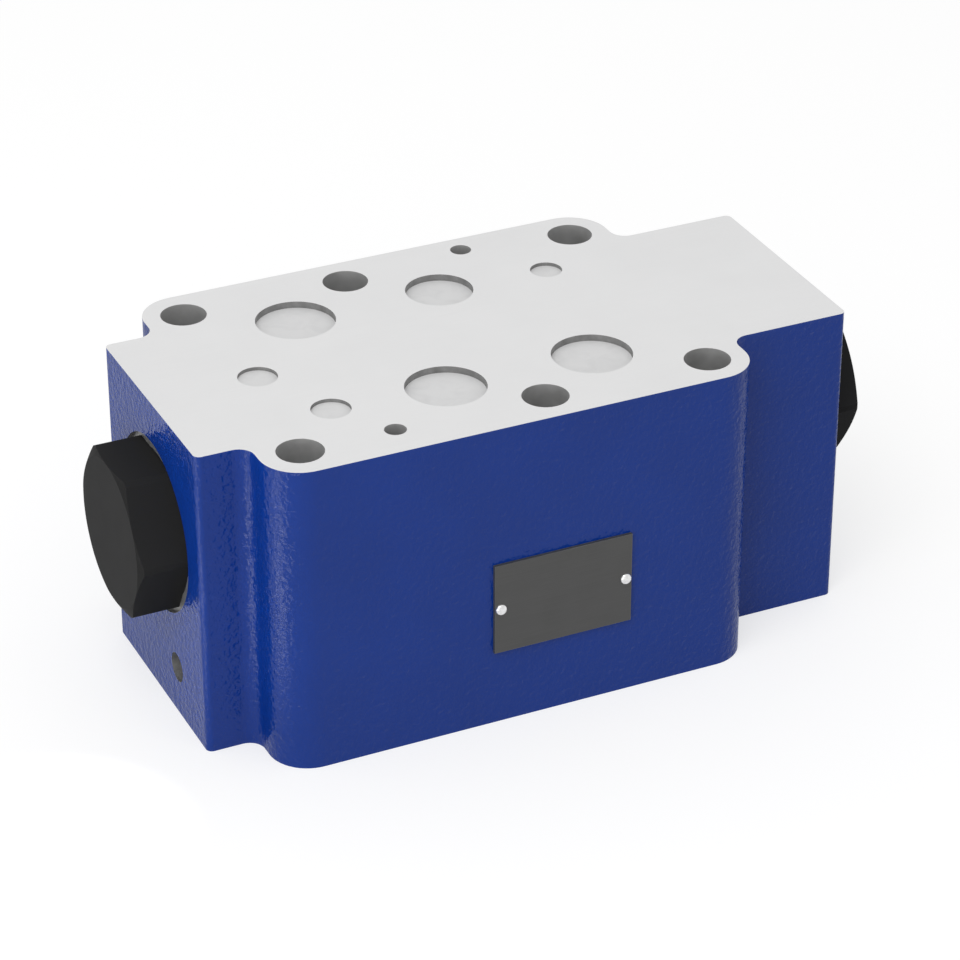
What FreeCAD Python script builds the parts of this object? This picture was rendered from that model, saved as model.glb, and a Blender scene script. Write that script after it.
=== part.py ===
import FreeCAD, Part
import os
import re

import Sketcher

# Sandwich-plate double pilot-operated check valve with the bolt and port pattern of ISO 4401-08.
# Millimetres. Origin: middle of the bolt rectangle, on the bottom face. +Z is up, and +X runs
# along the main bore. Each end of the bore holds the same set of pieces, worked out from the
# valve's centre outwards.

SIZES = {
    # Housing outline
    "body_length": 211,
    "body_height": 100,
    "end_block_width": 75,
    "ear_radius": 12.5,
    "inner_fillet": 5,
    "end_edge_radius": 2,
    # Bolt pattern
    "bolt_span_x": 130.2,
    "bolt_span_y": 92.1,
    "middle_bolt_offset": 11.9,
    "bolt_hole_radius": 7.05,
    # Port pattern, measured from the bolt rectangle's middle
    "valve_centre": 11.9,
    "pressure_port_x": 11.9,
    "tank_port_x": -35.7,
    "rear_port_row": 28.55,
    "service_port_reach": 23.8,
    "service_port_row": -28.55,
    "left_pilot_x": -47.6,
    "left_pilot_row": -26.95,
    "right_pilot_x": 47.6,
    "right_pilot_row": 27.05,
    "leak_port_x": -59.5,
    "leak_port_row": 0.05,
    "service_port_radius": 12.25,
    "tank_port_radius": 12.25,
    "pressure_port_radius": 10.5,
    "left_pilot_radius": 6,
    "right_pilot_radius": 5,
    "leak_port_radius": 6,
    "lower_port_depth": 34,
    "upper_port_depth": 20,
    "leak_port_depth": 12,
    "channel_wall": 4,
    "riser_overlap": 10,
    # Locating pin holes
    "pin_hole_radius": 3.3,
    "pin_hole_depth": 8,
    "right_pin_x": 29.4,
    "right_pin_row": 50.85,
    "left_pin_x": -35.7,
    "left_pin_row": -46.05,
    # Seal rings in the bottom face
    "main_seal_seat": 16.5,
    "pilot_seal_seat": 12.5,
    "seal_seat_depth": 2.4,
    "seal_width": 3.2,
    "seal_gap": 0.05,
    "port_seal_fit": 0.15,
    "seal_rounding_share": 0.45,
    # Dust plugs in the top ports
    "main_plug_depth": 2.1,
    "pilot_plug_depth": 1.1,
    "dust_plug_floor": 1.2,
    "dust_plug_skirt": 5,
    "dust_plug_wall": 1,
    "dust_plug_fit": 0.05,
    # Main bore
    "bore_height": 59,
    "spool_radius": 11,
    "spool_fit": 0.03,
    "web_half": 14,
    "chamber_radius": 17.5,
    "shoulder_place": 33,
    "bore_radius": 19.6,
    "thread_radius": 21,
    "thread_fit": 0.03,
    "thread_length": 20,
    "thread_runout": 2,
    "spot_radius": 27.5,
    "spot_depth": 1.5,
    "plug_seal_seat": 23.5,
    "plug_seal_depth": 2.4,
    # Flow channels behind the seats
    "inner_link_radius": 8.5,
    "outer_link_radius": 9,
    "outer_link_height": 22,
    "outer_riser_row": -6,
    # Leak channel, and the cross drilling that meets it
    "leak_channel_radius": 5,
    "leak_riser_x": -63.1,
    "leak_leg_start": 5,
    "leak_leg_low": 36,
    "leak_leg_high": 77,
    "leak_leg_end": 89,
    "gallery_radius": 4.65,
    "gallery_row": -13.7,
    "gallery_height": 16.1,
    "gallery_plug_sunk": 5,
    "gallery_plug_length": 8,
    "gallery_plug_wall": 1.2,
    "gallery_plug_fit": 0.02,
    # Seat bushing
    "bushing_length": 14,
    "bushing_fit": 0.02,
    "seat_radius": 12,
    "bushing_groove_width": 3.2,
    "bushing_groove_depth": 2.2,
    "bushing_seal_section": 1.05,
    # Main poppet
    "poppet_radius": 14,
    "poppet_fit": 0.05,
    "poppet_stroke": 6.95,
    "poppet_nose_radius": 9,
    "poppet_nose_length": 4,
    "poppet_floor": 12,
    "poppet_cup_radius": 11,
    "seat_gap": 0.05,
    "vent_radius": 1.5,
    # Pilot ball, its carrier and its seat in the poppet
    "pilot_hole_radius": 2.6,
    "pilot_land": 3,
    "ball_radius": 4,
    "ball_pocket_radius": 6,
    "ball_gap": 0.03,
    "carrier_radius": 5.6,
    "carrier_thickness": 2.5,
    "carrier_spigot_radius": 2.6,
    "carrier_spigot_length": 4,
    # Control spool
    "spool_land_half": 22,
    "spool_rod_radius": 6,
    "spool_tip_radius": 2.2,
    "spool_play": 1.55,
    "pilot_stroke": 1.5,
    "spool_groove_width": 1,
    "spool_groove_depth": 0.5,
    # Screw plug
    "head_height": 14,
    "head_across": 46,
    "head_corner_radius": 26,
    "head_chamfer": 1,
    "sleeve_radius": 17.5,
    "sleeve_length": 20,
    "spring_pocket_depth": 8,
    "spigot_radius": 2.9,
    "spigot_length": 6,
    "plug_seal_section": 1.15,
    # Springs
    "main_wire": 2.2,
    "main_coil_radius": 9.2,
    "main_coil_turns": 7,
    "pilot_wire": 0.9,
    "pilot_coil_radius": 3.9,
    "pilot_coil_turns": 11,
    # Nameplate and its drive studs
    "plate_height": 40,
    "plate_length": 45,
    "plate_width": 30,
    "plate_thickness": 1.1,
    "stud_inset": 2,
    "stud_head_radius": 1.85,
    "stud_head_height": 1.1,
    "stud_shank_radius": 0.9,
    "stud_shank_length": 6,
    "stud_fit": 0.05,
    "stud_rounding_share": 0.95,
    # How far a cut runs past the face it starts from
    "overshoot": 1,
}

ALONG_X = FreeCAD.Rotation(FreeCAD.Vector(0, 1, 0), 90)
ALONG_Y = FreeCAD.Rotation(FreeCAD.Vector(1, 0, 0), -90)
TURNED_ROUND = FreeCAD.Rotation(FreeCAD.Vector(0, 0, 1), 180)
TO_THE_FRONT = FreeCAD.Rotation(FreeCAD.Vector(0, 0, 1), -90)
# Two places closer than this are the same one
NEAR = 0.1
SIZE_WORD = re.compile(r"\b[a-z][a-z_]+\b(?!\()")

# Places on the main bore, measured from the valve's centre towards one end
FACE = "(body_length / 2)"
SPOT = f"({FACE} - spot_depth)"
THREAD_END = f"({SPOT} - thread_length)"
SLEEVE_START = f"({THREAD_END} - sleeve_length)"
SEAT = "(shoulder_place + bushing_length)"
CONE_START = f"({SEAT} + seat_gap - seat_radius + poppet_nose_radius)"
CONE_END = f"({SEAT} + seat_gap + poppet_radius - seat_radius)"
POPPET_NOSE = f"({CONE_START} - poppet_nose_length)"
POPPET_REAR = f"({THREAD_END} - poppet_stroke)"
CUP_FLOOR = f"({POPPET_NOSE} + poppet_floor)"
VENT = f"(({CUP_FLOOR} + {SLEEVE_START}) / 2)"
BALL_EDGE = f"({POPPET_NOSE} + pilot_land)"
BALL_CENTRE = f"({BALL_EDGE} + ball_gap + sqrt(ball_radius ^ 2 - pilot_hole_radius ^ 2))"
CARRIER_FRONT = f"({BALL_CENTRE} + ball_radius + ball_gap)"
CARRIER_REAR = f"({CARRIER_FRONT} + carrier_thickness)"
SPRING_SEAT = f"({THREAD_END} + spring_pocket_depth)"
TIP_END = f"({BALL_CENTRE} - ball_radius - spool_play)"
ROD_END = f"({POPPET_NOSE} - spool_play - pilot_stroke)"

# The housing's outer faces
SIDE = "(bolt_span_x / 2 + ear_radius)"
FRONT = "(bolt_span_y / 2 + ear_radius)"
END_SIDE = "(end_block_width / 2)"
RIGHT_END = f"(valve_centre + {FACE})"
LEFT_END = f"(valve_centre - {FACE})"
CHANNEL_REACH = "(bore_radius + channel_wall)"

DOC = FreeCAD.newDocument("lock_valve")
SHEET = DOC.addObject("Spreadsheet::Sheet", "Sizes")
NODES = {}


def fill_sheet():
    for row, (alias, value) in enumerate(SIZES.items(), start=1):
        SHEET.set(f"A{row}", alias)
        SHEET.set(f"B{row}", str(value))
        SHEET.setAlias(f"B{row}", alias)
    DOC.recompute()


def sized(formula):
    """The same formula, with each size read from the sheet."""
    return SIZE_WORD.sub(lambda word: "Sizes." + word.group(), str(formula))


def number(formula):
    return float(SHEET.evalExpression(sized(formula)))


def point(x, y, z):
    return FreeCAD.Vector(number(x), number(y), number(z))


def place(item, x="0", y="0", z="0", rotation=FreeCAD.Rotation()):
    item.Placement = FreeCAD.Placement(FreeCAD.Vector(), rotation)
    for axis, formula in zip("xyz", (x, y, z)):
        item.setExpression(f".Placement.Base.{axis}", sized(formula))


def node(item, label):
    """Keep an object as a sub-part of its own."""
    item.Label = label
    NODES[label] = item
    return item


# Primitives

def cylinder(name, radius, length, x, y, z, rotation=FreeCAD.Rotation()):
    item = DOC.addObject("Part::Cylinder", name)
    item.setExpression("Radius", sized(radius))
    item.setExpression("Height", sized(length))
    place(item, x, y, z, rotation)
    return item


def ball(name, radius, x, y, z):
    item = DOC.addObject("Part::Sphere", name)
    item.setExpression("Radius", sized(radius))
    place(item, x, y, z)
    return item


def ring(name, radius, section, x, y, z, rotation=FreeCAD.Rotation()):
    item = DOC.addObject("Part::Torus", name)
    item.setExpression("Radius1", sized(radius))
    item.setExpression("Radius2", sized(section))
    place(item, x, y, z, rotation)
    return item


def drilling(name, radius, start, end):
    """A straight channel between two points, which may be oblique."""
    run = point(*end) - point(*start)
    item = DOC.addObject("Part::Cylinder", name)
    item.setExpression("Radius", sized(radius))
    item.Height = run.Length
    item.Placement = FreeCAD.Placement(point(*start), FreeCAD.Rotation(FreeCAD.Vector(0, 0, 1), run))
    return item


# Sketches and the features made from them

def empty_sketch(body, plane, offset=("0", "0", "0")):
    sketch = body.newObject("Sketcher::SketchObject", "Sketch")
    origin_plane = next(item for item in body.Origin.OriginFeatures if item.Role == plane)
    sketch.AttachmentSupport = [(origin_plane, "")]
    sketch.MapMode = "FlatFace"
    for axis, formula in zip("xyz", offset):
        sketch.setExpression(f".AttachmentOffset.Base.{axis}", sized(formula))
    return sketch


def hold_point(sketch, geometry, end, x, y):
    for kind, formula in (("DistanceX", x), ("DistanceY", y)):
        rule = Sketcher.Constraint(kind, -1, 1, geometry, end, number(formula))
        sketch.setExpression(f"Constraints[{sketch.addConstraint(rule)}]", sized(formula))


def add_outline(sketch, corners):
    """Closed straight-sided outline, each corner held by its two distances."""
    spots = [point(x, y, 0) for x, y in corners]
    first = sketch.GeometryCount
    for start, end in zip(spots, spots[1:] + spots[:1]):
        sketch.addGeometry(Part.LineSegment(start, end))
    for index, (x, y) in enumerate(corners):
        line = first + index
        following = first + (index + 1) % len(corners)
        sketch.addConstraint(Sketcher.Constraint("Coincident", line, 2, following, 1))
        hold_point(sketch, line, 1, x, y)


def add_circle(sketch, radius, x, y):
    circle = Part.Circle(point(x, y, 0), FreeCAD.Vector(0, 0, 1), number(radius))
    index = sketch.addGeometry(circle)
    rule = Sketcher.Constraint("Radius", index, number(radius))
    sketch.setExpression(f"Constraints[{sketch.addConstraint(rule)}]", sized(radius))
    hold_point(sketch, index, 3, x, y)


def turned(label, profile, axis="H_Axis"):
    """A turned piece: its profile lies along x with its radius upwards, or the other way."""
    body = DOC.addObject("PartDesign::Body", label)
    sketch = empty_sketch(body, "XZ_Plane")
    add_outline(sketch, profile)
    turn = body.newObject("PartDesign::Revolution", "Turned")
    turn.Profile = sketch
    turn.ReferenceAxis = (sketch, [axis])
    turn.Angle = 360
    return node(body, label)


def pad(body, sketch, length):
    feature = body.newObject("PartDesign::Pad", "Pad")
    feature.Profile = sketch
    feature.setExpression("Length", sized(length))
    return feature


def pocket(body, sketch, depth=None, upwards=False):
    feature = body.newObject("PartDesign::Pocket", "Pocket")
    feature.Profile = sketch
    feature.Reversed = upwards
    if depth is None:
        feature.Type = "ThroughAll"
    else:
        feature.setExpression("Length", sized(depth))
    return feature


def round_off(body, radius, chosen):
    """Round the edges of the body's last feature that the chosen() test picks."""
    DOC.recompute()
    base = body.Tip
    edges = [f"Edge{index}" for index, edge in enumerate(base.Shape.Edges, start=1) if chosen(edge)]
    feature = body.newObject("PartDesign::Fillet", "Rounded")
    feature.Base = (base, edges)
    feature.setExpression("Radius", sized(radius))
    return feature


def upright_at(corners):
    """Test for an upright edge that stands at one of the corners."""
    spots = [point(x, y, 0) for x, y in corners]

    def chosen(edge):
        low, high = edge.BoundBox.ZMin, edge.BoundBox.ZMax
        middle = edge.BoundBox.Center
        near = [(middle.x - spot.x) ** 2 + (middle.y - spot.y) ** 2 < NEAR ** 2 for spot in spots]
        return high - low > number("body_height") / 2 and any(near)

    return chosen


# Ports: place on the face, and radius

PORTS = {
    "p": ("pressure_port_x", "rear_port_row", "pressure_port_radius"),
    "t": ("tank_port_x", "rear_port_row", "tank_port_radius"),
    "a": ("(valve_centre - service_port_reach)", "service_port_row", "service_port_radius"),
    "b": ("(valve_centre + service_port_reach)", "service_port_row", "service_port_radius"),
    "x": ("left_pilot_x", "left_pilot_row", "left_pilot_radius"),
    "y": ("right_pilot_x", "right_pilot_row", "right_pilot_radius"),
    "l": ("leak_port_x", "leak_port_row", "leak_port_radius"),
}
PILOT_PORTS = ("x", "y", "l")
PIN_HOLES = (("right_pin_x", "right_pin_row"), ("left_pin_x", "left_pin_row"))
CORNER_SIGNS = [(right, rear) for right in (-1, 1) for rear in (-1, 1)]
ENDS = {"left": ("-", TURNED_ROUND), "right": ("+", FreeCAD.Rotation())}


def for_port(name, main_size, pilot_size):
    return pilot_size if name in PILOT_PORTS else main_size


def bolt_places():
    corners = [(f"{right} * bolt_span_x / 2", f"{rear} * bolt_span_y / 2") for right, rear in CORNER_SIGNS]
    middles = [(f"{-rear} * middle_bolt_offset", f"{rear} * bolt_span_y / 2") for rear in (-1, 1)]
    return corners + middles


def stud_places():
    reach = "(plate_length / 2 - stud_inset)"
    return {"left": f"valve_centre - {reach}", "right": f"valve_centre + {reach}"}


# Housing

def sink_circles(body, level, upwards, circles, depth):
    sketch = empty_sketch(body, "XY_Plane", ("0", "0", level))
    for x, y, radius in circles:
        add_circle(sketch, radius, x, y)
    pocket(body, sketch, depth, upwards)


def housing_block():
    """The cast block with its bolt holes, port mouths, pin holes, seal seats and main bore."""
    body = DOC.addObject("PartDesign::Body", "Block")
    ears = [(f"{right} * {SIDE}", f"{rear} * {FRONT}") for right, rear in CORNER_SIGNS]
    notches = [(f"{right} * {SIDE}", f"{rear} * {END_SIDE}") for right, rear in CORNER_SIGNS]
    ends = [(end, f"{rear} * {END_SIDE}") for end in (LEFT_END, RIGHT_END) for rear in (-1, 1)]
    loop = [ends[2], ends[3], notches[3], ears[3], ears[1], notches[1]]
    loop += [ends[1], ends[0], notches[0], ears[0], ears[2], notches[2]]
    sketch = empty_sketch(body, "XY_Plane")
    add_outline(sketch, loop)
    pad(body, sketch, "body_height")
    for radius, corners in (("ear_radius", ears), ("inner_fillet", notches), ("end_edge_radius", ends)):
        round_off(body, radius, upright_at(corners))

    bolts = [(x, y, "bolt_hole_radius") for x, y in bolt_places()]
    sink_circles(body, "0", True, bolts, None)
    pins = [(x, y, "pin_hole_radius") for x, y in PIN_HOLES]
    mouths = [place for name, place in PORTS.items() if name != "l"]
    faces = (("0", True, "lower_port_depth"), ("body_height", False, "upper_port_depth"))
    for level, upwards, depth in faces:
        sink_circles(body, level, upwards, mouths, depth)
        sink_circles(body, level, upwards, [PORTS["l"]], "leak_port_depth")
        sink_circles(body, level, upwards, pins, "pin_hole_depth")
    seats = [(x, y, for_port(name, "main_seal_seat", "pilot_seal_seat"))
             for name, (x, y, radius) in PORTS.items()]
    sink_circles(body, "0", True, seats, "seal_seat_depth")
    cut_main_bore(body)
    return body


def cut_main_bore(body):
    half = [
        ("web_half", "spool_radius"),
        ("web_half", "chamber_radius"),
        ("shoulder_place", "chamber_radius"),
        ("shoulder_place", "bore_radius"),
        (f"{THREAD_END} - thread_runout", "bore_radius"),
        (f"{THREAD_END} - thread_runout", "thread_radius"),
        (f"{SPOT} - plug_seal_depth", "thread_radius"),
        (f"{SPOT} - plug_seal_depth", "plug_seal_seat"),
        (SPOT, "plug_seal_seat"),
        (SPOT, "spot_radius"),
        (f"{FACE} + overshoot", "spot_radius"),
        (f"{FACE} + overshoot", "0"),
    ]
    other_half = [(f"-1 * ({x})", radius) for x, radius in reversed(half)]
    sketch = empty_sketch(body, "XZ_Plane", ("valve_centre", "bore_height", "0"))
    add_outline(sketch, other_half + half)
    groove = body.newObject("PartDesign::Groove", "MainBore")
    groove.Profile = sketch
    groove.ReferenceAxis = (sketch, ["H_Axis"])
    groove.Angle = 360


def passing_channels():
    """Risers that join the lower and upper mouths of P, T, X and Y, clear of the main bore."""
    low = "(lower_port_depth - riser_overlap)"
    length = f"body_height - upper_port_depth + riser_overlap - {low}"
    rows = {"p": "rear_port_row"}
    for name, sign in (("t", 1), ("x", -1), ("y", 1)):
        rows[name] = f"{sign} * ({CHANNEL_REACH} + {PORTS[name][2]})"
    return [cylinder(f"Riser_{name}", PORTS[name][2], length, PORTS[name][0], row, low)
            for name, row in rows.items()]


def service_channels(name, sign):
    """The upper mouth opens into the chamber before the seat, the lower one into that behind it."""
    x, row, radius = PORTS[name]
    low = "(bore_height - inner_link_radius)"
    inner = cylinder(f"Inner_{name}", radius, f"body_height - upper_port_depth / 2 - {low}", x, row, low)
    link = cylinder(f"Link_{name}", "inner_link_radius", f"-1 * {row}", x, row, "bore_height", ALONG_Y)
    behind = f"valve_centre {sign} ({SEAT} + {SLEEVE_START}) / 2"
    riser_radius = f"({SLEEVE_START} - {SEAT}) / 2 - seat_gap"
    knee = (behind, "outer_riser_row", "outer_link_height")
    outer = drilling(f"Outer_{name}", "outer_link_radius", (x, row, "outer_link_height"), knee)
    elbow = ball(f"Elbow_{name}", "outer_link_radius", *knee)
    rise = "bore_height - poppet_radius - outer_link_height"
    return [inner, link, outer, elbow, cylinder(f"Rise_{name}", riser_radius, rise, *knee)]


def leak_channel():
    """L goes round the main bore, and a cross drilling from the left end meets its lower leg."""
    x, row, _ = PORTS["l"]
    side_row = f"-1 * ({CHANNEL_REACH} + leak_channel_radius)"
    low = ("leak_riser_x", side_row, "leak_leg_low")
    high = ("leak_riser_x", side_row, "leak_leg_high")
    radius = "leak_channel_radius"
    legs = [
        drilling("LeakLowLeg", radius, (x, row, "leak_leg_start"), low),
        drilling("LeakRiser", radius, low, high),
        drilling("LeakHighLeg", radius, high, (x, row, "leak_leg_end")),
    ]
    gallery = cylinder("Gallery", "gallery_radius", f"{x} - {LEFT_END}", LEFT_END,
                       "gallery_row", "gallery_height", ALONG_X)
    return legs + [ball("LeakElbowLow", radius, *low), ball("LeakElbowHigh", radius, *high), gallery]


def housing():
    block = housing_block()
    tools = passing_channels() + service_channels("a", "-") + service_channels("b", "+") + leak_channel()
    for side, x in stud_places().items():
        tools.append(cylinder(f"StudHole_{side}", "stud_shank_radius + stud_fit", "stud_shank_length",
                              x, f"-1 * {FRONT}", "plate_height", ALONG_Y))
    cored = DOC.addObject("Part::MultiFuse", "Channels")
    cored.Shapes = tools
    cut = DOC.addObject("Part::Cut", "Housing")
    cut.Base = block
    cut.Tool = cored
    return node(cut, "valve_housing")


# Pieces in the port faces

def port_pieces():
    for name, (x, y, radius) in PORTS.items():
        outer = f"({for_port(name, 'main_seal_seat', 'pilot_seal_seat')} - port_seal_fit)"
        low, high = "seal_gap", "(seal_seat_depth - seal_gap)"
        inner = f"({outer} - seal_width)"
        section = [(inner, low), (outer, low), (outer, high), (inner, high)]
        seal = turned(f"port_seal_{name}", section, "V_Axis")
        round_off(seal, f"seal_rounding_share * ({high} - {low})", lambda edge: edge.isClosed())
        place(seal, x, y)

        wall = f"({radius} - dust_plug_fit)"
        cap = [
            ("0", "0"),
            (wall, "0"),
            (wall, "-1 * dust_plug_floor - dust_plug_skirt"),
            (f"{wall} - dust_plug_wall", "-1 * dust_plug_floor - dust_plug_skirt"),
            (f"{wall} - dust_plug_wall", "-1 * dust_plug_floor"),
            ("0", "-1 * dust_plug_floor"),
        ]
        plug = turned(f"dust_plug_{name}", cap, "V_Axis")
        place(plug, x, y, f"body_height - {for_port(name, 'main_plug_depth', 'pilot_plug_depth')}")


def gallery_plug():
    wall = "(gallery_radius - gallery_plug_fit)"
    cup = [
        ("0", "0"),
        ("0", wall),
        ("gallery_plug_length", wall),
        ("gallery_plug_length", f"{wall} - gallery_plug_wall"),
        ("gallery_plug_wall", f"{wall} - gallery_plug_wall"),
        ("gallery_plug_wall", "0"),
    ]
    place(turned("gallery_plug", cup), f"{LEFT_END} + gallery_plug_sunk", "gallery_row", "gallery_height")


# Pieces in the main bore

def control_spool():
    land = "(spool_radius - spool_fit)"
    half = []
    for middle in ("web_half / 4", "web_half * 3 / 4"):
        start, end = f"{middle} - spool_groove_width / 2", f"{middle} + spool_groove_width / 2"
        half += [(start, land), (start, f"{land} - spool_groove_depth"),
                 (end, f"{land} - spool_groove_depth"), (end, land)]
    half += [
        ("spool_land_half", land),
        ("spool_land_half", "spool_rod_radius"),
        (ROD_END, "spool_rod_radius"),
        (ROD_END, "spool_tip_radius"),
        (TIP_END, "spool_tip_radius"),
        (TIP_END, "0"),
    ]
    other_half = [(f"-1 * ({x})", radius) for x, radius in reversed(half)]
    place(turned("control_spool", other_half + half), "valve_centre", "0", "bore_height")


def seat_bushing(side, sign, turn):
    outer = "(bore_radius - bushing_fit)"
    middle = f"(shoulder_place + {SEAT}) / 2"
    start, end = f"{middle} - bushing_groove_width / 2", f"{middle} + bushing_groove_width / 2"
    profile = [
        ("shoulder_place", "seat_radius"),
        ("shoulder_place", outer),
        (start, outer),
        (start, f"{outer} - bushing_groove_depth"),
        (end, f"{outer} - bushing_groove_depth"),
        (end, outer),
        (SEAT, outer),
        (SEAT, "seat_radius"),
    ]
    place(turned(f"{side}_seat_bushing", profile), "valve_centre", "0", "bore_height", turn)
    seal = ring(f"{side}_bushing_seal", "bore_radius - seal_gap - bushing_seal_section",
                "bushing_seal_section", f"valve_centre {sign} {middle}", "0", "bore_height", ALONG_X)
    node(seal, f"{side}_bushing_seal")


def main_poppet(side, sign, turn):
    profile = [
        (POPPET_NOSE, "pilot_hole_radius"),
        (POPPET_NOSE, "poppet_nose_radius"),
        (CONE_START, "poppet_nose_radius"),
        (CONE_END, "poppet_radius"),
        (POPPET_REAR, "poppet_radius"),
        (POPPET_REAR, "poppet_cup_radius"),
        (CUP_FLOOR, "poppet_cup_radius"),
        (CUP_FLOOR, "ball_pocket_radius"),
        (BALL_EDGE, "ball_pocket_radius"),
        (BALL_EDGE, "pilot_hole_radius"),
    ]
    poppet = turned(f"{side}_main_poppet", profile)
    sketch = empty_sketch(poppet, "XZ_Plane")
    add_circle(sketch, "vent_radius", VENT, "0")
    pocket(poppet, sketch).Midplane = True
    place(poppet, "valve_centre", "0", "bore_height", turn)


def pilot_stage(side, sign, turn):
    label = f"{side}_pilot_ball"
    node(ball(label, "ball_radius", f"valve_centre {sign} {BALL_CENTRE}", "0", "bore_height"), label)
    spigot_end = f"{CARRIER_REAR} + carrier_spigot_length"
    profile = [
        (CARRIER_FRONT, "0"),
        (CARRIER_FRONT, "carrier_radius"),
        (CARRIER_REAR, "carrier_radius"),
        (CARRIER_REAR, "carrier_spigot_radius"),
        (spigot_end, "carrier_spigot_radius"),
        (spigot_end, "0"),
    ]
    place(turned(f"{side}_ball_carrier", profile), "valve_centre", "0", "bore_height", turn)


def screw_plug(side, sign, turn):
    head = f"({FACE} + head_height)"
    shank = "(thread_radius - thread_fit)"
    guide = "(poppet_radius + poppet_fit)"
    profile = [
        (head, "0"),
        (head, "head_across / 2"),
        (f"{head} - head_chamfer", "head_corner_radius"),
        (SPOT, "head_corner_radius"),
        (SPOT, shank),
        (THREAD_END, shank),
        (THREAD_END, "sleeve_radius"),
        (SLEEVE_START, "sleeve_radius"),
        (SLEEVE_START, guide),
        (THREAD_END, guide),
        (THREAD_END, "poppet_cup_radius"),
        (SPRING_SEAT, "poppet_cup_radius"),
        (SPRING_SEAT, "spigot_radius"),
        (f"{SPRING_SEAT} - spigot_length", "spigot_radius"),
        (f"{SPRING_SEAT} - spigot_length", "0"),
    ]
    plug = turned(f"{side}_screw_plug", profile)
    corner = "(head_across / sqrt(3))"
    hexagon = [(f"{corner} * {turns}", f"{corner} * {rise}") for turns, rise in
               (("1", "0"), ("0.5", "sqrt(0.75)"), ("-0.5", "sqrt(0.75)"),
                ("-1", "0"), ("-0.5", "-sqrt(0.75)"), ("0.5", "-sqrt(0.75)"))]
    sketch = empty_sketch(plug, "YZ_Plane", ("0", "0", f"{head} + overshoot"))
    add_outline(sketch, hexagon)
    add_circle(sketch, "head_corner_radius + overshoot", "0", "0")
    pocket(plug, sketch, f"{head} + overshoot - {SPOT}")
    place(plug, "valve_centre", "0", "bore_height", turn)
    seal = ring(f"{side}_plug_seal", "plug_seal_seat - seal_gap - plug_seal_section", "plug_seal_section",
                f"valve_centre {sign} ({SPOT} - plug_seal_depth / 2)", "0", "bore_height", ALONG_X)
    node(seal, f"{side}_plug_seal")


def spring(side, kind, start, turn):
    """A coil from its seat on the moving piece to the plug's floor, with both ends ground flat."""
    wire, coil_radius = number(f"{kind}_wire"), number(f"{kind}_coil_radius")
    length = number(SPRING_SEAT) - number(start)
    uncut_length = length + 2 * wire
    path = Part.makeHelix(uncut_length / number(f"{kind}_coil_turns"), uncut_length, coil_radius)
    section = Part.makeCircle(wire / 2, FreeCAD.Vector(coil_radius, 0, 0), FreeCAD.Vector(0, 1, 0))
    coil = Part.Wire(path.Edges).makePipeShell([Part.Wire(section)], True, True)
    coil.translate(FreeCAD.Vector(0, 0, -wire))
    kept = Part.makeCylinder(coil_radius + wire, length)
    item = DOC.addObject("Part::Feature", "Spring")
    item.Shape = coil.common(kept).Solids[0]
    centre = point("valve_centre", "0", "bore_height")
    seat = centre + turn.multVec(FreeCAD.Vector(number(start), 0, 0))
    item.Placement = FreeCAD.Placement(seat, turn.multiply(ALONG_X))
    node(item, f"{side}_{kind}_spring")


# Nameplate

def nameplate():
    body = DOC.addObject("PartDesign::Body", "nameplate")
    sketch = empty_sketch(body, "XZ_Plane")
    half_length, half_width = "plate_length / 2", "plate_width / 2"
    add_outline(sketch, [(f"{right} * {half_length}", f"{rise} * {half_width}")
                         for right, rise in ((-1, -1), (1, -1), (1, 1), (-1, 1))])
    for x in stud_places().values():
        add_circle(sketch, "stud_shank_radius + stud_fit", f"{x} - valve_centre", "0")
    pad(body, sketch, "plate_thickness")
    place(body, "valve_centre", f"-1 * {FRONT}", "plate_height")
    node(body, "nameplate")
    for side, x in stud_places().items():
        top = "(plate_thickness + stud_head_height)"
        profile = [
            ("-1 * stud_shank_length + stud_fit", "0"),
            ("-1 * stud_shank_length + stud_fit", "stud_shank_radius"),
            ("plate_thickness", "stud_shank_radius"),
            ("plate_thickness", "stud_head_radius"),
            (top, "stud_head_radius"),
            (top, "0"),
        ]
        stud = turned(f"{side}_nameplate_stud", profile)
        rim = number(top)
        round_off(stud, "stud_rounding_share * stud_head_height",
                  lambda edge: abs(edge.BoundBox.XMin - rim) < NEAR)
        place(stud, x, f"-1 * {FRONT}", "plate_height", TO_THE_FRONT)


def check():
    DOC.recompute()
    for item in DOC.Objects:
        if {"Invalid", "Error"} & set(item.State):
            raise RuntimeError(f"{item.Label} failed: {item.State}")
    for label, item in NODES.items():
        shape = item.Shape
        if shape.isNull() or not shape.isValid() or len(shape.Solids) != 1:
            raise RuntimeError(f"{label} is not one valid solid")


fill_sheet()
housing()
port_pieces()
gallery_plug()
control_spool()
for side, (sign, turn) in ENDS.items():
    seat_bushing(side, sign, turn)
    main_poppet(side, sign, turn)
    pilot_stage(side, sign, turn)
    screw_plug(side, sign, turn)
    spring(side, "main", CUP_FLOOR, turn)
    spring(side, "pilot", CARRIER_REAR, turn)
nameplate()
check()
os.makedirs("parts", exist_ok=True)
for label, item in NODES.items():
    item.Shape.exportStep(f"parts/{label}.step")
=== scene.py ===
import math

import bpy
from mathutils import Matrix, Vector
from mathutils.bvhtree import BVHTree


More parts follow.
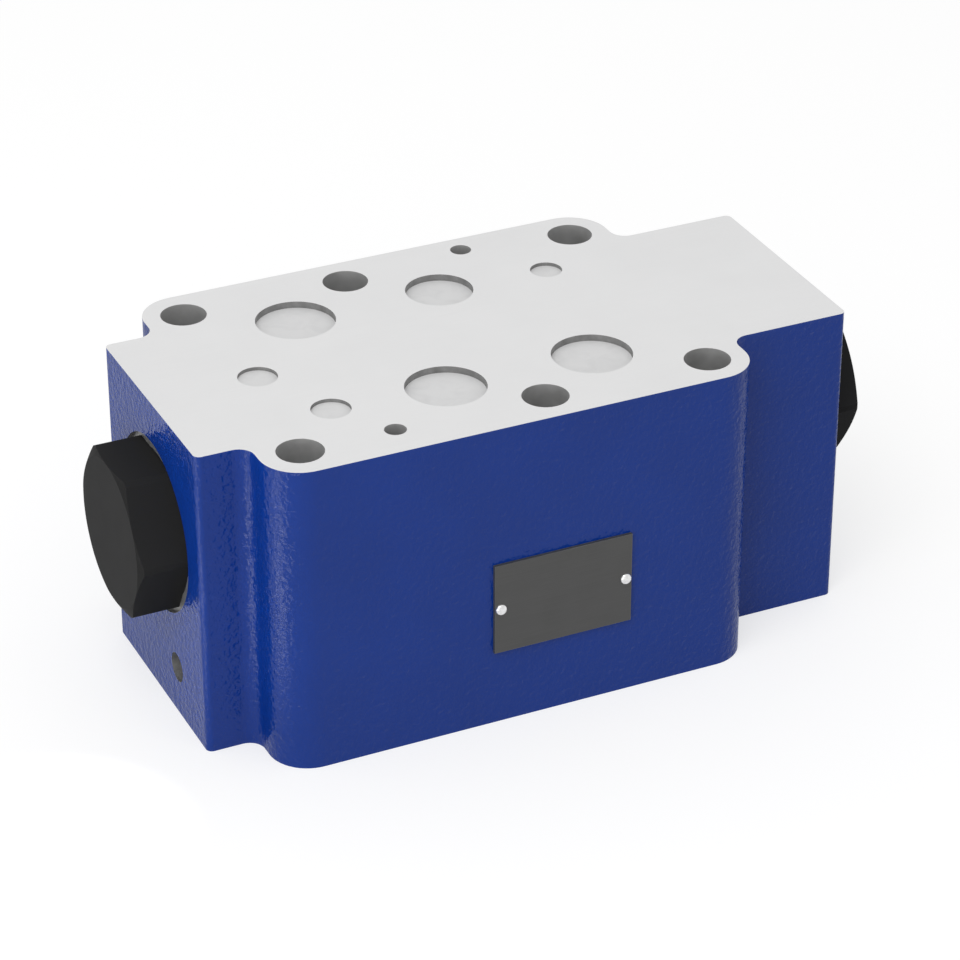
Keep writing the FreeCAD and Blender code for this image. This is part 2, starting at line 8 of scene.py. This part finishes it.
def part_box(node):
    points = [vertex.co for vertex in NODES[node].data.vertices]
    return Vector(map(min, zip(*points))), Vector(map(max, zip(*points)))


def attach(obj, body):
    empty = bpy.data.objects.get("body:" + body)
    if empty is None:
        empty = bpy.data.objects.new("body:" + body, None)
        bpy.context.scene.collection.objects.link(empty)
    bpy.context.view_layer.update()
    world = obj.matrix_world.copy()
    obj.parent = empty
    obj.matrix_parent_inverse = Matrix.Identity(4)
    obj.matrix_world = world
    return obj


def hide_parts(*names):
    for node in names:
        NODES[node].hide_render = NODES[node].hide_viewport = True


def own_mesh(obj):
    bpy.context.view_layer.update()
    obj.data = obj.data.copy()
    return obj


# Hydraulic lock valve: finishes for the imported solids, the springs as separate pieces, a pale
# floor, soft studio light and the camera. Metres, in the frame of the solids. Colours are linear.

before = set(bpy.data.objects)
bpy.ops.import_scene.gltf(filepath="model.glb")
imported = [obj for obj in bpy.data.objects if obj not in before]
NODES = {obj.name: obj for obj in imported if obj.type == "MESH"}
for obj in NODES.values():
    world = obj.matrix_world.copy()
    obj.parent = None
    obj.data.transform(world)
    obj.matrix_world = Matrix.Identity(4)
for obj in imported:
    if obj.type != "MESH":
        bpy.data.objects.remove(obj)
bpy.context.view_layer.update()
MM = 0.001

# Housing: the main bore, the spot faces round it and the block
BORE_HEIGHT = 59 * MM
SPOT_RADIUS = 27.6 * MM
BODY_HEIGHT = 100 * MM

# How far a spring's moving end travels: the pilot one also follows its ball
SPRING_TRAVEL = {"main": 6.9 * MM, "pilot": 8.4 * MM}

# Colours
BLUE = (0.0026, 0.035, 0.258, 1)
BLUE_DEEP = (0.0024, 0.032, 0.236, 1)
# Lighter blue on the paint's edges: a painted highlight
BLUE_EDGE_HIGHLIGHT = (0.012, 0.054, 0.320, 1)
MACHINED = (0.750, 0.750, 0.752, 1)
MACHINED_DULL = (0.708, 0.709, 0.712, 1)
BORED = (0.500, 0.500, 0.498, 1)
BORED_DARK = (0.390, 0.390, 0.386, 1)
# Darker iron for the spot faces, port mouths and cross hole: painted shade
SEAT_PAINTED_SHADE = (0.300, 0.299, 0.297, 1)
SEAT_PAINTED_SHADE_DARK = (0.210, 0.209, 0.207, 1)
BLACK = (0.0230, 0.0230, 0.0232, 1)
BLACK_WORN = (0.036, 0.036, 0.035, 1)
STEEL = (0.520, 0.530, 0.545, 1)
STEEL_DARK = (0.360, 0.368, 0.380, 1)
BRIGHT = (0.800, 0.800, 0.805, 1)
BRIGHT_DULL = (0.640, 0.640, 0.650, 1)
SPRING_GREY = (0.200, 0.208, 0.225, 1)
SPRING_DARK = (0.110, 0.115, 0.125, 1)
RUBBER = (0.0140, 0.0140, 0.0145, 1)
RUBBER_DUSTY = (0.034, 0.034, 0.034, 1)
PLASTIC = (0.680, 0.680, 0.682, 1)
PLASTIC_WORN = (0.630, 0.630, 0.634, 1)
STUD = (0.790, 0.790, 0.790, 1)
STUD_DULL = (0.640, 0.640, 0.642, 1)
PLATE = (0.081, 0.081, 0.080, 1)
PLATE_DARK = (0.072, 0.072, 0.071, 1)
PLATE_WORN = (0.190, 0.190, 0.188, 1)

# Where most of a noise lies, and where only its high patches are
MOST = (0.3, 0.7)
PATCHES = (0.45, 0.75)

# Edge marks, worn on the metals and a painted highlight on the paint: how alike a face's own and
# its rounded normal are, from a plain face to a sharp edge, and the share of the mark that a noise
# leaves
PLAIN_TO_SHARP = (0.995, 0.80)
BREAKUP = (0.35, 0.65)
EDGE_MARK_LEFT = (0.15, 1.0)


# Materials

class Surface:
    """A procedural material, built from its texture nodes to its shader."""

    def __init__(self, name, metallic=0.0, ior=1.45):
        self.material = bpy.data.materials.new(name)
        self.material.use_nodes = True
        self.tree = self.material.node_tree
        self.shader = self.tree.nodes["Principled BSDF"]
        self.shader.inputs["Metallic"].default_value = metallic
        self.shader.inputs["IOR"].default_value = ior
        self.place = self.add("ShaderNodeTexCoord").outputs["Object"]

    def add(self, kind, inputs=None, **settings):
        node = self.tree.nodes.new(kind)
        for name, value in settings.items():
            setattr(node, name, value)
        for socket, value in (inputs or {}).items():
            self.feed(node.inputs[socket], value)
        return node

    def feed(self, socket, value):
        if isinstance(value, bpy.types.NodeSocket):
            self.tree.links.new(value, socket)
        else:
            socket.default_value = value

    def noise(self, size, detail=2.0, stretch=(1, 1, 1), distortion=0.0):
        """Noise whose grains are about size across, longer along an axis by its stretch."""
        scale = Vector([1 / (size * along) for along in stretch])
        placed = self.add("ShaderNodeMapping", {"Vector": self.place, "Scale": scale})
        texture = self.add("ShaderNodeTexNoise", {
            "Vector": placed.outputs["Vector"],
            "Scale": 1.0,
            "Detail": detail,
            "Distortion": distortion,
        })
        return texture.outputs["Fac"]

    def spread(self, value, source, target=(0.0, 1.0)):
        """Map a value from one range to another, and hold it at the ends."""
        mapped = self.add("ShaderNodeMapRange", {
            "Value": value,
            "From Min": source[0],
            "From Max": source[1],
            "To Min": target[0],
            "To Max": target[1],
        })
        return mapped.outputs["Result"]

    def maths(self, operation, first, second):
        return self.add("ShaderNodeMath", {0: first, 1: second}, operation=operation).outputs[0]

    def blend(self, share, first, second):
        mixed = self.add("ShaderNodeMix", data_type="RGBA")
        self.feed(mixed.inputs["Factor"], share)
        self.feed(mixed.inputs[6], first)
        self.feed(mixed.inputs[7], second)
        return mixed.outputs[2]

    def edges(self, reach, breakup):
        """Share of an edge mark (wear on the metals, a painted highlight on the paint): near 1 on
        sharp edges, broken up by noise, and 0 on plain faces.
        """
        rounded = self.add("ShaderNodeBevel", {"Radius": reach}, samples=4)
        plain = self.add("ShaderNodeNewGeometry")
        likeness = self.add("ShaderNodeVectorMath", {
            0: rounded.outputs["Normal"],
            1: plain.outputs["Normal"],
        }, operation="DOT_PRODUCT")
        sharp = self.spread(likeness.outputs["Value"], PLAIN_TO_SHARP)
        return self.maths("MULTIPLY", sharp, self.spread(breakup, BREAKUP, EDGE_MARK_LEFT))

    def relief(self, *layers, socket="Normal"):
        """Bumps laid over each other, each as (height, depth in metres)."""
        normal = None
        for height, depth in layers:
            inputs = {"Height": height, "Distance": depth, "Strength": 1.0}
            if normal is not None:
                inputs["Normal"] = normal
            normal = self.add("ShaderNodeBump", inputs).outputs["Normal"]
        self.feed(self.shader.inputs[socket], normal)

    def lacquer(self, weight, roughness):
        """A clear coat over the colour, which then has hardly any gloss of its own."""
        self.shader.inputs["IOR"].default_value = 1.05
        self.shader.inputs["Coat Weight"].default_value = weight
        self.shader.inputs["Coat IOR"].default_value = 1.5
        self.feed(self.shader.inputs["Coat Roughness"], roughness)

    def finish(self, colour, roughness):
        self.feed(self.shader.inputs["Base Color"], colour)
        self.feed(self.shader.inputs["Roughness"], roughness)
        return self.material


def painted_casting():
    """Blue paint under a wavy clear coat on a sand casting, with a painted highlight of lighter
    blue along the edges.
    """
    surface = Surface("blue_paint_on_casting")
    waves = surface.noise(1.6 * MM, detail=1.5, distortion=0.35)
    grain = surface.noise(0.6 * MM)
    clouds = surface.noise(28 * MM, detail=3.0)
    colour = surface.blend(surface.spread(clouds, MOST), BLUE_DEEP, BLUE)
    # Lighter blue along the edges: a painted highlight
    colour = surface.blend(surface.edges(0.8 * MM, waves), colour, BLUE_EDGE_HIGHLIGHT)
    surface.relief((waves, 0.06 * MM), (grain, 0.012 * MM))
    surface.relief((waves, 0.48 * MM), (grain, 0.015 * MM), socket="Coat Normal")
    surface.lacquer(0.45, surface.spread(clouds, MOST, (0.05, 0.08)))
    return surface.finish(colour, surface.spread(clouds, MOST, (0.45, 0.55)))


def machined_face():
    """Ground iron: fine straight marks along the valve, and faint clouds."""
    surface = Surface("ground_iron_face", metallic=0.25)
    marks = surface.noise(0.25 * MM, stretch=(60, 1, 1))
    clouds = surface.noise(22 * MM, detail=4.0)
    both = surface.maths("ADD", marks, clouds)
    colour = surface.blend(surface.spread(both, (0.75, 1.25), (0.0, 0.35)), MACHINED, MACHINED_DULL)
    surface.relief((marks, 0.002 * MM))
    return surface.finish(colour, surface.spread(clouds, MOST, (0.50, 0.60)))


def bored_wall():
    """Drilled and turned iron: rings round the tool's path, darker than the ground faces."""
    surface = Surface("bored_iron", metallic=0.45)
    rings = surface.noise(0.35 * MM, stretch=(14, 14, 1))
    stains = surface.noise(7 * MM, detail=3.0)
    colour = surface.blend(surface.spread(stains, MOST), BORED, BORED_DARK)
    surface.relief((rings, 0.015 * MM))
    return surface.finish(colour, surface.spread(rings, MOST, (0.34, 0.52)))


def iron_in_painted_shade():
    """Spot faces, port mouths and cross holes: rough turned iron, made darker than the bolt holes
    as painted shade.
    """
    surface = Surface("rough_iron_in_painted_shade", metallic=0.6)
    rings = surface.noise(0.4 * MM)
    stains = surface.noise(3 * MM, detail=3.0)
    colour = surface.blend(surface.spread(stains, MOST), SEAT_PAINTED_SHADE, SEAT_PAINTED_SHADE_DARK)
    surface.relief((rings, 0.03 * MM))
    return surface.finish(colour, surface.spread(rings, MOST, (0.40, 0.55)))


def blackened_steel():
    """Black oxide on a turned and milled plug, rubbed brighter on its edges."""
    surface = Surface("black_oxide_steel", ior=1.045)
    lay = surface.noise(0.3 * MM, stretch=(1, 12, 12))
    clouds = surface.noise(9 * MM, detail=3.0)
    colour = surface.blend(surface.edges(0.5 * MM, clouds), BLACK, BLACK_WORN)
    surface.relief((lay, 0.004 * MM))
    return surface.finish(colour, surface.spread(clouds, MOST, (0.33, 0.37)))


def turned_steel(name, pale, dark, roughness):
    """Steel with fine turning rings round the X axis, bright on its edges."""
    surface = Surface(name, metallic=1.0)
    rings = surface.noise(0.22 * MM, stretch=(1, 18, 18))
    clouds = surface.noise(6 * MM, detail=3.0)
    colour = surface.blend(surface.spread(clouds, MOST), pale, dark)
    colour = surface.blend(surface.edges(0.3 * MM, clouds), colour, BRIGHT)
    surface.relief((rings, 0.003 * MM))
    return surface.finish(colour, surface.spread(rings, MOST, roughness))


def polished_steel(name, pale, dull):
    """Bright steel with faint scuffs, for the balls and the plated studs."""
    surface = Surface(name, metallic=1.0)
    scuffs = surface.noise(0.8 * MM, detail=4.0)
    colour = surface.blend(surface.spread(scuffs, PATCHES), pale, dull)
    surface.relief((scuffs, 0.003 * MM))
    return surface.finish(colour, surface.spread(scuffs, MOST, (0.16, 0.30)))


def rubber():
    """Black seals with a little dust."""
    surface = Surface("nitrile_rubber")
    skin = surface.noise(0.35 * MM, detail=3.0)
    dust = surface.noise(5 * MM, detail=4.0)
    colour = surface.blend(surface.spread(dust, PATCHES), RUBBER, RUBBER_DUSTY)
    surface.relief((skin, 0.006 * MM))
    return surface.finish(colour, surface.spread(skin, MOST, (0.50, 0.68)))


def pale_plastic():
    """Moulded dust plugs: a fine spark-eroded skin with faint handling marks."""
    surface = Surface("pale_moulded_plastic", ior=1.40)
    skin = surface.noise(0.30 * MM, detail=3.0)
    marks = surface.noise(6 * MM, detail=4.0, distortion=0.6)
    colour = surface.blend(surface.spread(marks, PATCHES), PLASTIC, PLASTIC_WORN)
    surface.relief((skin, 0.006 * MM))
    return surface.finish(colour, surface.spread(marks, MOST, (0.50, 0.62)))


def dark_plate():
    """Anodised sheet: brushed along its length, brighter on its cut edges."""
    surface = Surface("dark_anodised_sheet", metallic=0.35)
    brushing = surface.noise(0.16 * MM, stretch=(90, 1, 1))
    clouds = surface.noise(8 * MM, detail=3.0)
    colour = surface.blend(surface.spread(brushing, MOST), PLATE, PLATE_DARK)
    colour = surface.blend(surface.edges(0.25 * MM, clouds), colour, PLATE_WORN)
    surface.relief((brushing, 0.002 * MM))
    return surface.finish(colour, surface.spread(clouds, MOST, (0.42, 0.54)))


# Which face of the housing gets which finish

# The housing's material slots
PAINT_SLOT, GROUND_SLOT, BORED_SLOT, SHADED_IRON_SLOT = range(4)
# How much of its normal lies along an axis, on a face square to it and on a slanted face
SQUARE = 0.999
SLANTED = 0.02
# How near a level face lies to the block's top or bottom, and a wall to its hole
LEVEL_FIT = 0.05 * MM
WALL_FIT = 0.5 * MM
# The rays that tell a hole's floor from an open face: their start over the face, and lean
RAY_START = 0.05 * MM
LEAN = 1.7


def dress(node, *materials):
    """Put materials in a solid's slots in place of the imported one."""
    slots = NODES[node].data.materials
    slots.clear()
    for material in materials:
        slots.append(material)


def middle_and_half(node):
    """Middle of a node's box, and half its size along each axis."""
    low, high = (Vector(corner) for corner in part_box(node))
    return (high + low) / 2, (high - low) / 2


def in_hole(tree, polygon):
    """A wall faces another wall, and a hole's floor has walls on every side."""
    normal = polygon.normal
    start = polygon.center + RAY_START * normal
    if tree.ray_cast(start, normal)[0] is not None:
        return True
    across = normal.orthogonal()
    along = normal.cross(across)
    leaning = [normal + LEAN * side for side in (across, along, -across, -along)]
    return all(tree.ray_cast(start, ray.normalized())[0] is not None for ray in leaning)


def dress_housing():
    """Paint outside, ground top and bottom, and bare iron in the holes and spot faces, made darker
    as painted shade in the spot faces, port mouths and cross hole.
    """
    dress("valve_housing", painted_casting(), machined_face(), bored_wall(), iron_in_painted_shade())
    housing = NODES["valve_housing"]
    tree = BVHTree.FromObject(housing, bpy.context.evaluated_depsgraph_get())
    mouths = [middle_and_half(name) for name in NODES if name.startswith("dust_plug")]
    drilling, drilling_half = middle_and_half("gallery_plug")
    for polygon in housing.data.polygons:
        normal, middle = polygon.normal, polygon.center
        off_axis = math.hypot(middle.y, middle.z - BORE_HEIGHT)
        off_drilling = (middle.yz - drilling.yz).length
        level = min(abs(middle.z), abs(middle.z - BODY_HEIGHT))
        if abs(normal.z) > SQUARE:
            slot = GROUND_SLOT if level < LEVEL_FIT else BORED_SLOT
        # The spot faces round the main bore get the darker iron as painted shade
        elif abs(normal.x) > SQUARE and off_axis < SPOT_RADIUS:
            slot = SHADED_IRON_SLOT
        elif in_hole(tree, polygon):
            # Port mouths and the cross hole get the darker iron as painted shade
            cross_hole = abs(normal.z) > SLANTED or off_drilling < drilling_half.z + WALL_FIT
            in_mouth = any((middle.xy - mouth.xy).length < half.x + WALL_FIT
                           for mouth, half in mouths)
            slot = SHADED_IRON_SLOT if cross_hole or in_mouth else BORED_SLOT
        else:
            slot = PAINT_SLOT
        polygon.material_index = slot


def dress_all():
    """A finish for every solid, found by the end of its name."""
    steel = turned_steel("turned_steel", STEEL, STEEL_DARK, (0.24, 0.38))
    spring = turned_steel("spring_steel", SPRING_GREY, SPRING_DARK, (0.32, 0.46))
    by_ending = {
        "_screw_plug": blackened_steel(),
        "_seat_bushing": steel,
        "_main_poppet": steel,
        "_ball_carrier": steel,
        "_spool": steel,
        # The gallery plug deep in its cross hole gets the dark spring steel: painted shade
        "gallery_plug": spring,
        "_spring": spring,
        "_pilot_ball": polished_steel("ball_bearing_steel", BRIGHT, BRIGHT_DULL),
        "_seal": rubber(),
        "_stud": polished_steel("plated_steel", STUD, STUD_DULL),
        "nameplate": dark_plate(),
    }
    plastic = pale_plastic()
    for name in NODES:
        ending = next((end for end in by_ending if name.endswith(end)), None)
        if name.startswith("dust_plug"):
            dress(name, plastic)
        elif name.startswith("port_seal"):
            dress(name, by_ending["_seal"])
        elif ending is not None:
            dress(name, by_ending[ending])
    dress_housing()


# Springs

def make_coils():
    """The four springs as separate pieces on the housing, in place of their hidden solids."""
    for side, plug_end in (("left", 0), ("right", 1)):
        for kind, travel in SPRING_TRAVEL.items():
            node = f"{side}_{kind}_spring"
            coil = bpy.data.objects.new(f"{side}_{kind}_coil", NODES[node].data.copy())
            bpy.context.scene.collection.objects.link(coil)
            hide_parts(node)
            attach(coil, "housing")
            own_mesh(coil)


# Floor, world, lamps and camera

FLOOR_HALF = 6.0
FLOOR_COLOUR = (0.42, 0.42, 0.42, 1)
FLOOR_LIFT = 0.62
WORLD_COLOUR = (1, 1, 1, 1)
WORLD_LIGHT = 0.74

# Soft lamps: name, place, width, height, power
LAMPS = (
    ("key", (-0.7, -0.6, 1.3), 0.9, 0.9, 7.4),
    ("side", (-0.80, -0.75, 0.16), 0.5, 0.28, 1.8),
)

# Pools of light on the floor beside the front left ear: name, middle, radius, power
POOLS = (
    ("far_pool", (-0.298, -0.058), 0.085, 62.0),
    ("middle_pool", (-0.192, -0.059), 0.042, 72.0),
    ("near_pool", (-0.150, -0.059), 0.028, 80.0),
)
POOL_LAMP_HEIGHT = 0.6
POOL_LAMP_RADIUS = 0.02
POOL_BLEND = 0.6

# The camera, from the fit to the holes of the top face
CAMERA_PLACE = Vector((-392.94, -869.25, 601.24)) * MM
CAMERA_AZIMUTH = math.radians(-25)
CAMERA_ELEVATION = math.radians(30)
LENS = 135
SENSOR_WIDTH = 36
CLIP_START = 0.05
CLIP_END = 50


def seen_directly(tree):
    """1 for rays from the camera and for mirrored or refracted ones, 0 for the rest."""
    path = tree.nodes.new("ShaderNodeLightPath")
    seen = path.outputs["Is Camera Ray"]
    for name in ("Is Glossy Ray", "Is Transmission Ray"):
        either = tree.nodes.new("ShaderNodeMath")
        either.operation = "MAXIMUM"
        tree.links.new(seen, either.inputs[0])
        tree.links.new(path.outputs[name], either.inputs[1])
        seen = either.outputs[0]
    return seen


def floor_material():
    """Matt and pale, lifted towards white where it is seen, so that it keeps the shadow."""
    material = bpy.data.materials.new("pale_floor")
    material.use_nodes = True
    tree = material.node_tree
    tree.nodes.clear()
    matt = tree.nodes.new("ShaderNodeBsdfDiffuse")
    matt.inputs["Color"].default_value = FLOOR_COLOUR
    lift = tree.nodes.new("ShaderNodeEmission")
    strength = tree.nodes.new("ShaderNodeMath")
    strength.operation = "MULTIPLY"
    strength.inputs[1].default_value = FLOOR_LIFT
    tree.links.new(seen_directly(tree), strength.inputs[0])
    tree.links.new(strength.outputs[0], lift.inputs["Strength"])
    both = tree.nodes.new("ShaderNodeAddShader")
    tree.links.new(matt.outputs[0], both.inputs[0])
    tree.links.new(lift.outputs[0], both.inputs[1])
    output = tree.nodes.new("ShaderNodeOutputMaterial")
    tree.links.new(both.outputs[0], output.inputs["Surface"])
    return material


def make_floor():
    signs = ((-1, -1), (1, -1), (1, 1), (-1, 1))
    corners = [(x * FLOOR_HALF, y * FLOOR_HALF, 0) for x, y in signs]
    mesh = bpy.data.meshes.new("floor")
    mesh.from_pydata(corners, [], [(0, 1, 2, 3)])
    mesh.materials.append(floor_material())
    floor = bpy.data.objects.new("floor", mesh)
    bpy.context.scene.collection.objects.link(floor)


def make_world():
    """White where it is seen, and weaker as light."""
    world = bpy.data.worlds.new("studio")
    bpy.context.scene.world = world
    world.use_nodes = True
    tree = world.node_tree
    background = tree.nodes["Background"]
    background.inputs["Color"].default_value = WORLD_COLOUR
    strength = tree.nodes.new("ShaderNodeMapRange")
    strength.inputs["To Min"].default_value = WORLD_LIGHT
    strength.inputs["To Max"].default_value = 1.0
    tree.links.new(seen_directly(tree), strength.inputs["Value"])
    tree.links.new(strength.outputs["Result"], background.inputs["Strength"])


def add_lamp(name, place, width, height, power):
    """A soft lamp aimed at the middle of the valve."""
    data = bpy.data.lights.new(name, "AREA")
    data.shape = "RECTANGLE"
    data.size = width
    data.size_y = height
    data.energy = power
    lamp = bpy.data.objects.new(name, data)
    bpy.context.scene.collection.objects.link(lamp)
    lamp.location = Vector(place)
    aim = Vector((0, 0, BODY_HEIGHT / 2)) - lamp.location
    lamp.rotation_euler = aim.to_track_quat("-Z", "Y").to_euler()


def add_pool(name, middle, radius, power):
    """A lamp straight above the floor beside the valve, whose pool the gloss picks up."""
    data = bpy.data.lights.new(name, "SPOT")
    data.spot_size = 2 * math.atan(radius / POOL_LAMP_HEIGHT)
    data.spot_blend = POOL_BLEND
    data.shadow_soft_size = POOL_LAMP_RADIUS
    data.energy = power
    lamp = bpy.data.objects.new(name, data)
    bpy.context.scene.collection.objects.link(lamp)
    lamp.location = (*middle, POOL_LAMP_HEIGHT)


def make_camera():
    """The photograph's view."""
    data = bpy.data.cameras.new("camera")
    data.lens = LENS
    data.sensor_width = SENSOR_WIDTH
    data.clip_start = CLIP_START
    data.clip_end = CLIP_END
    camera = bpy.data.objects.new("camera", data)
    bpy.context.scene.collection.objects.link(camera)
    camera.location = CAMERA_PLACE
    level = math.cos(CAMERA_ELEVATION)
    ahead = Vector((-math.sin(CAMERA_AZIMUTH) * level,
                    math.cos(CAMERA_AZIMUTH) * level,
                    -math.sin(CAMERA_ELEVATION)))
    camera.rotation_euler = ahead.to_track_quat("-Z", "Y").to_euler()
    bpy.context.scene.camera = camera


dress_all()
make_coils()
make_floor()
make_world()
for lamp in LAMPS:
    add_lamp(*lamp)
for pool in POOLS:
    add_pool(*pool)
make_camera()
bpy.context.scene.view_settings.view_transform = "Standard"
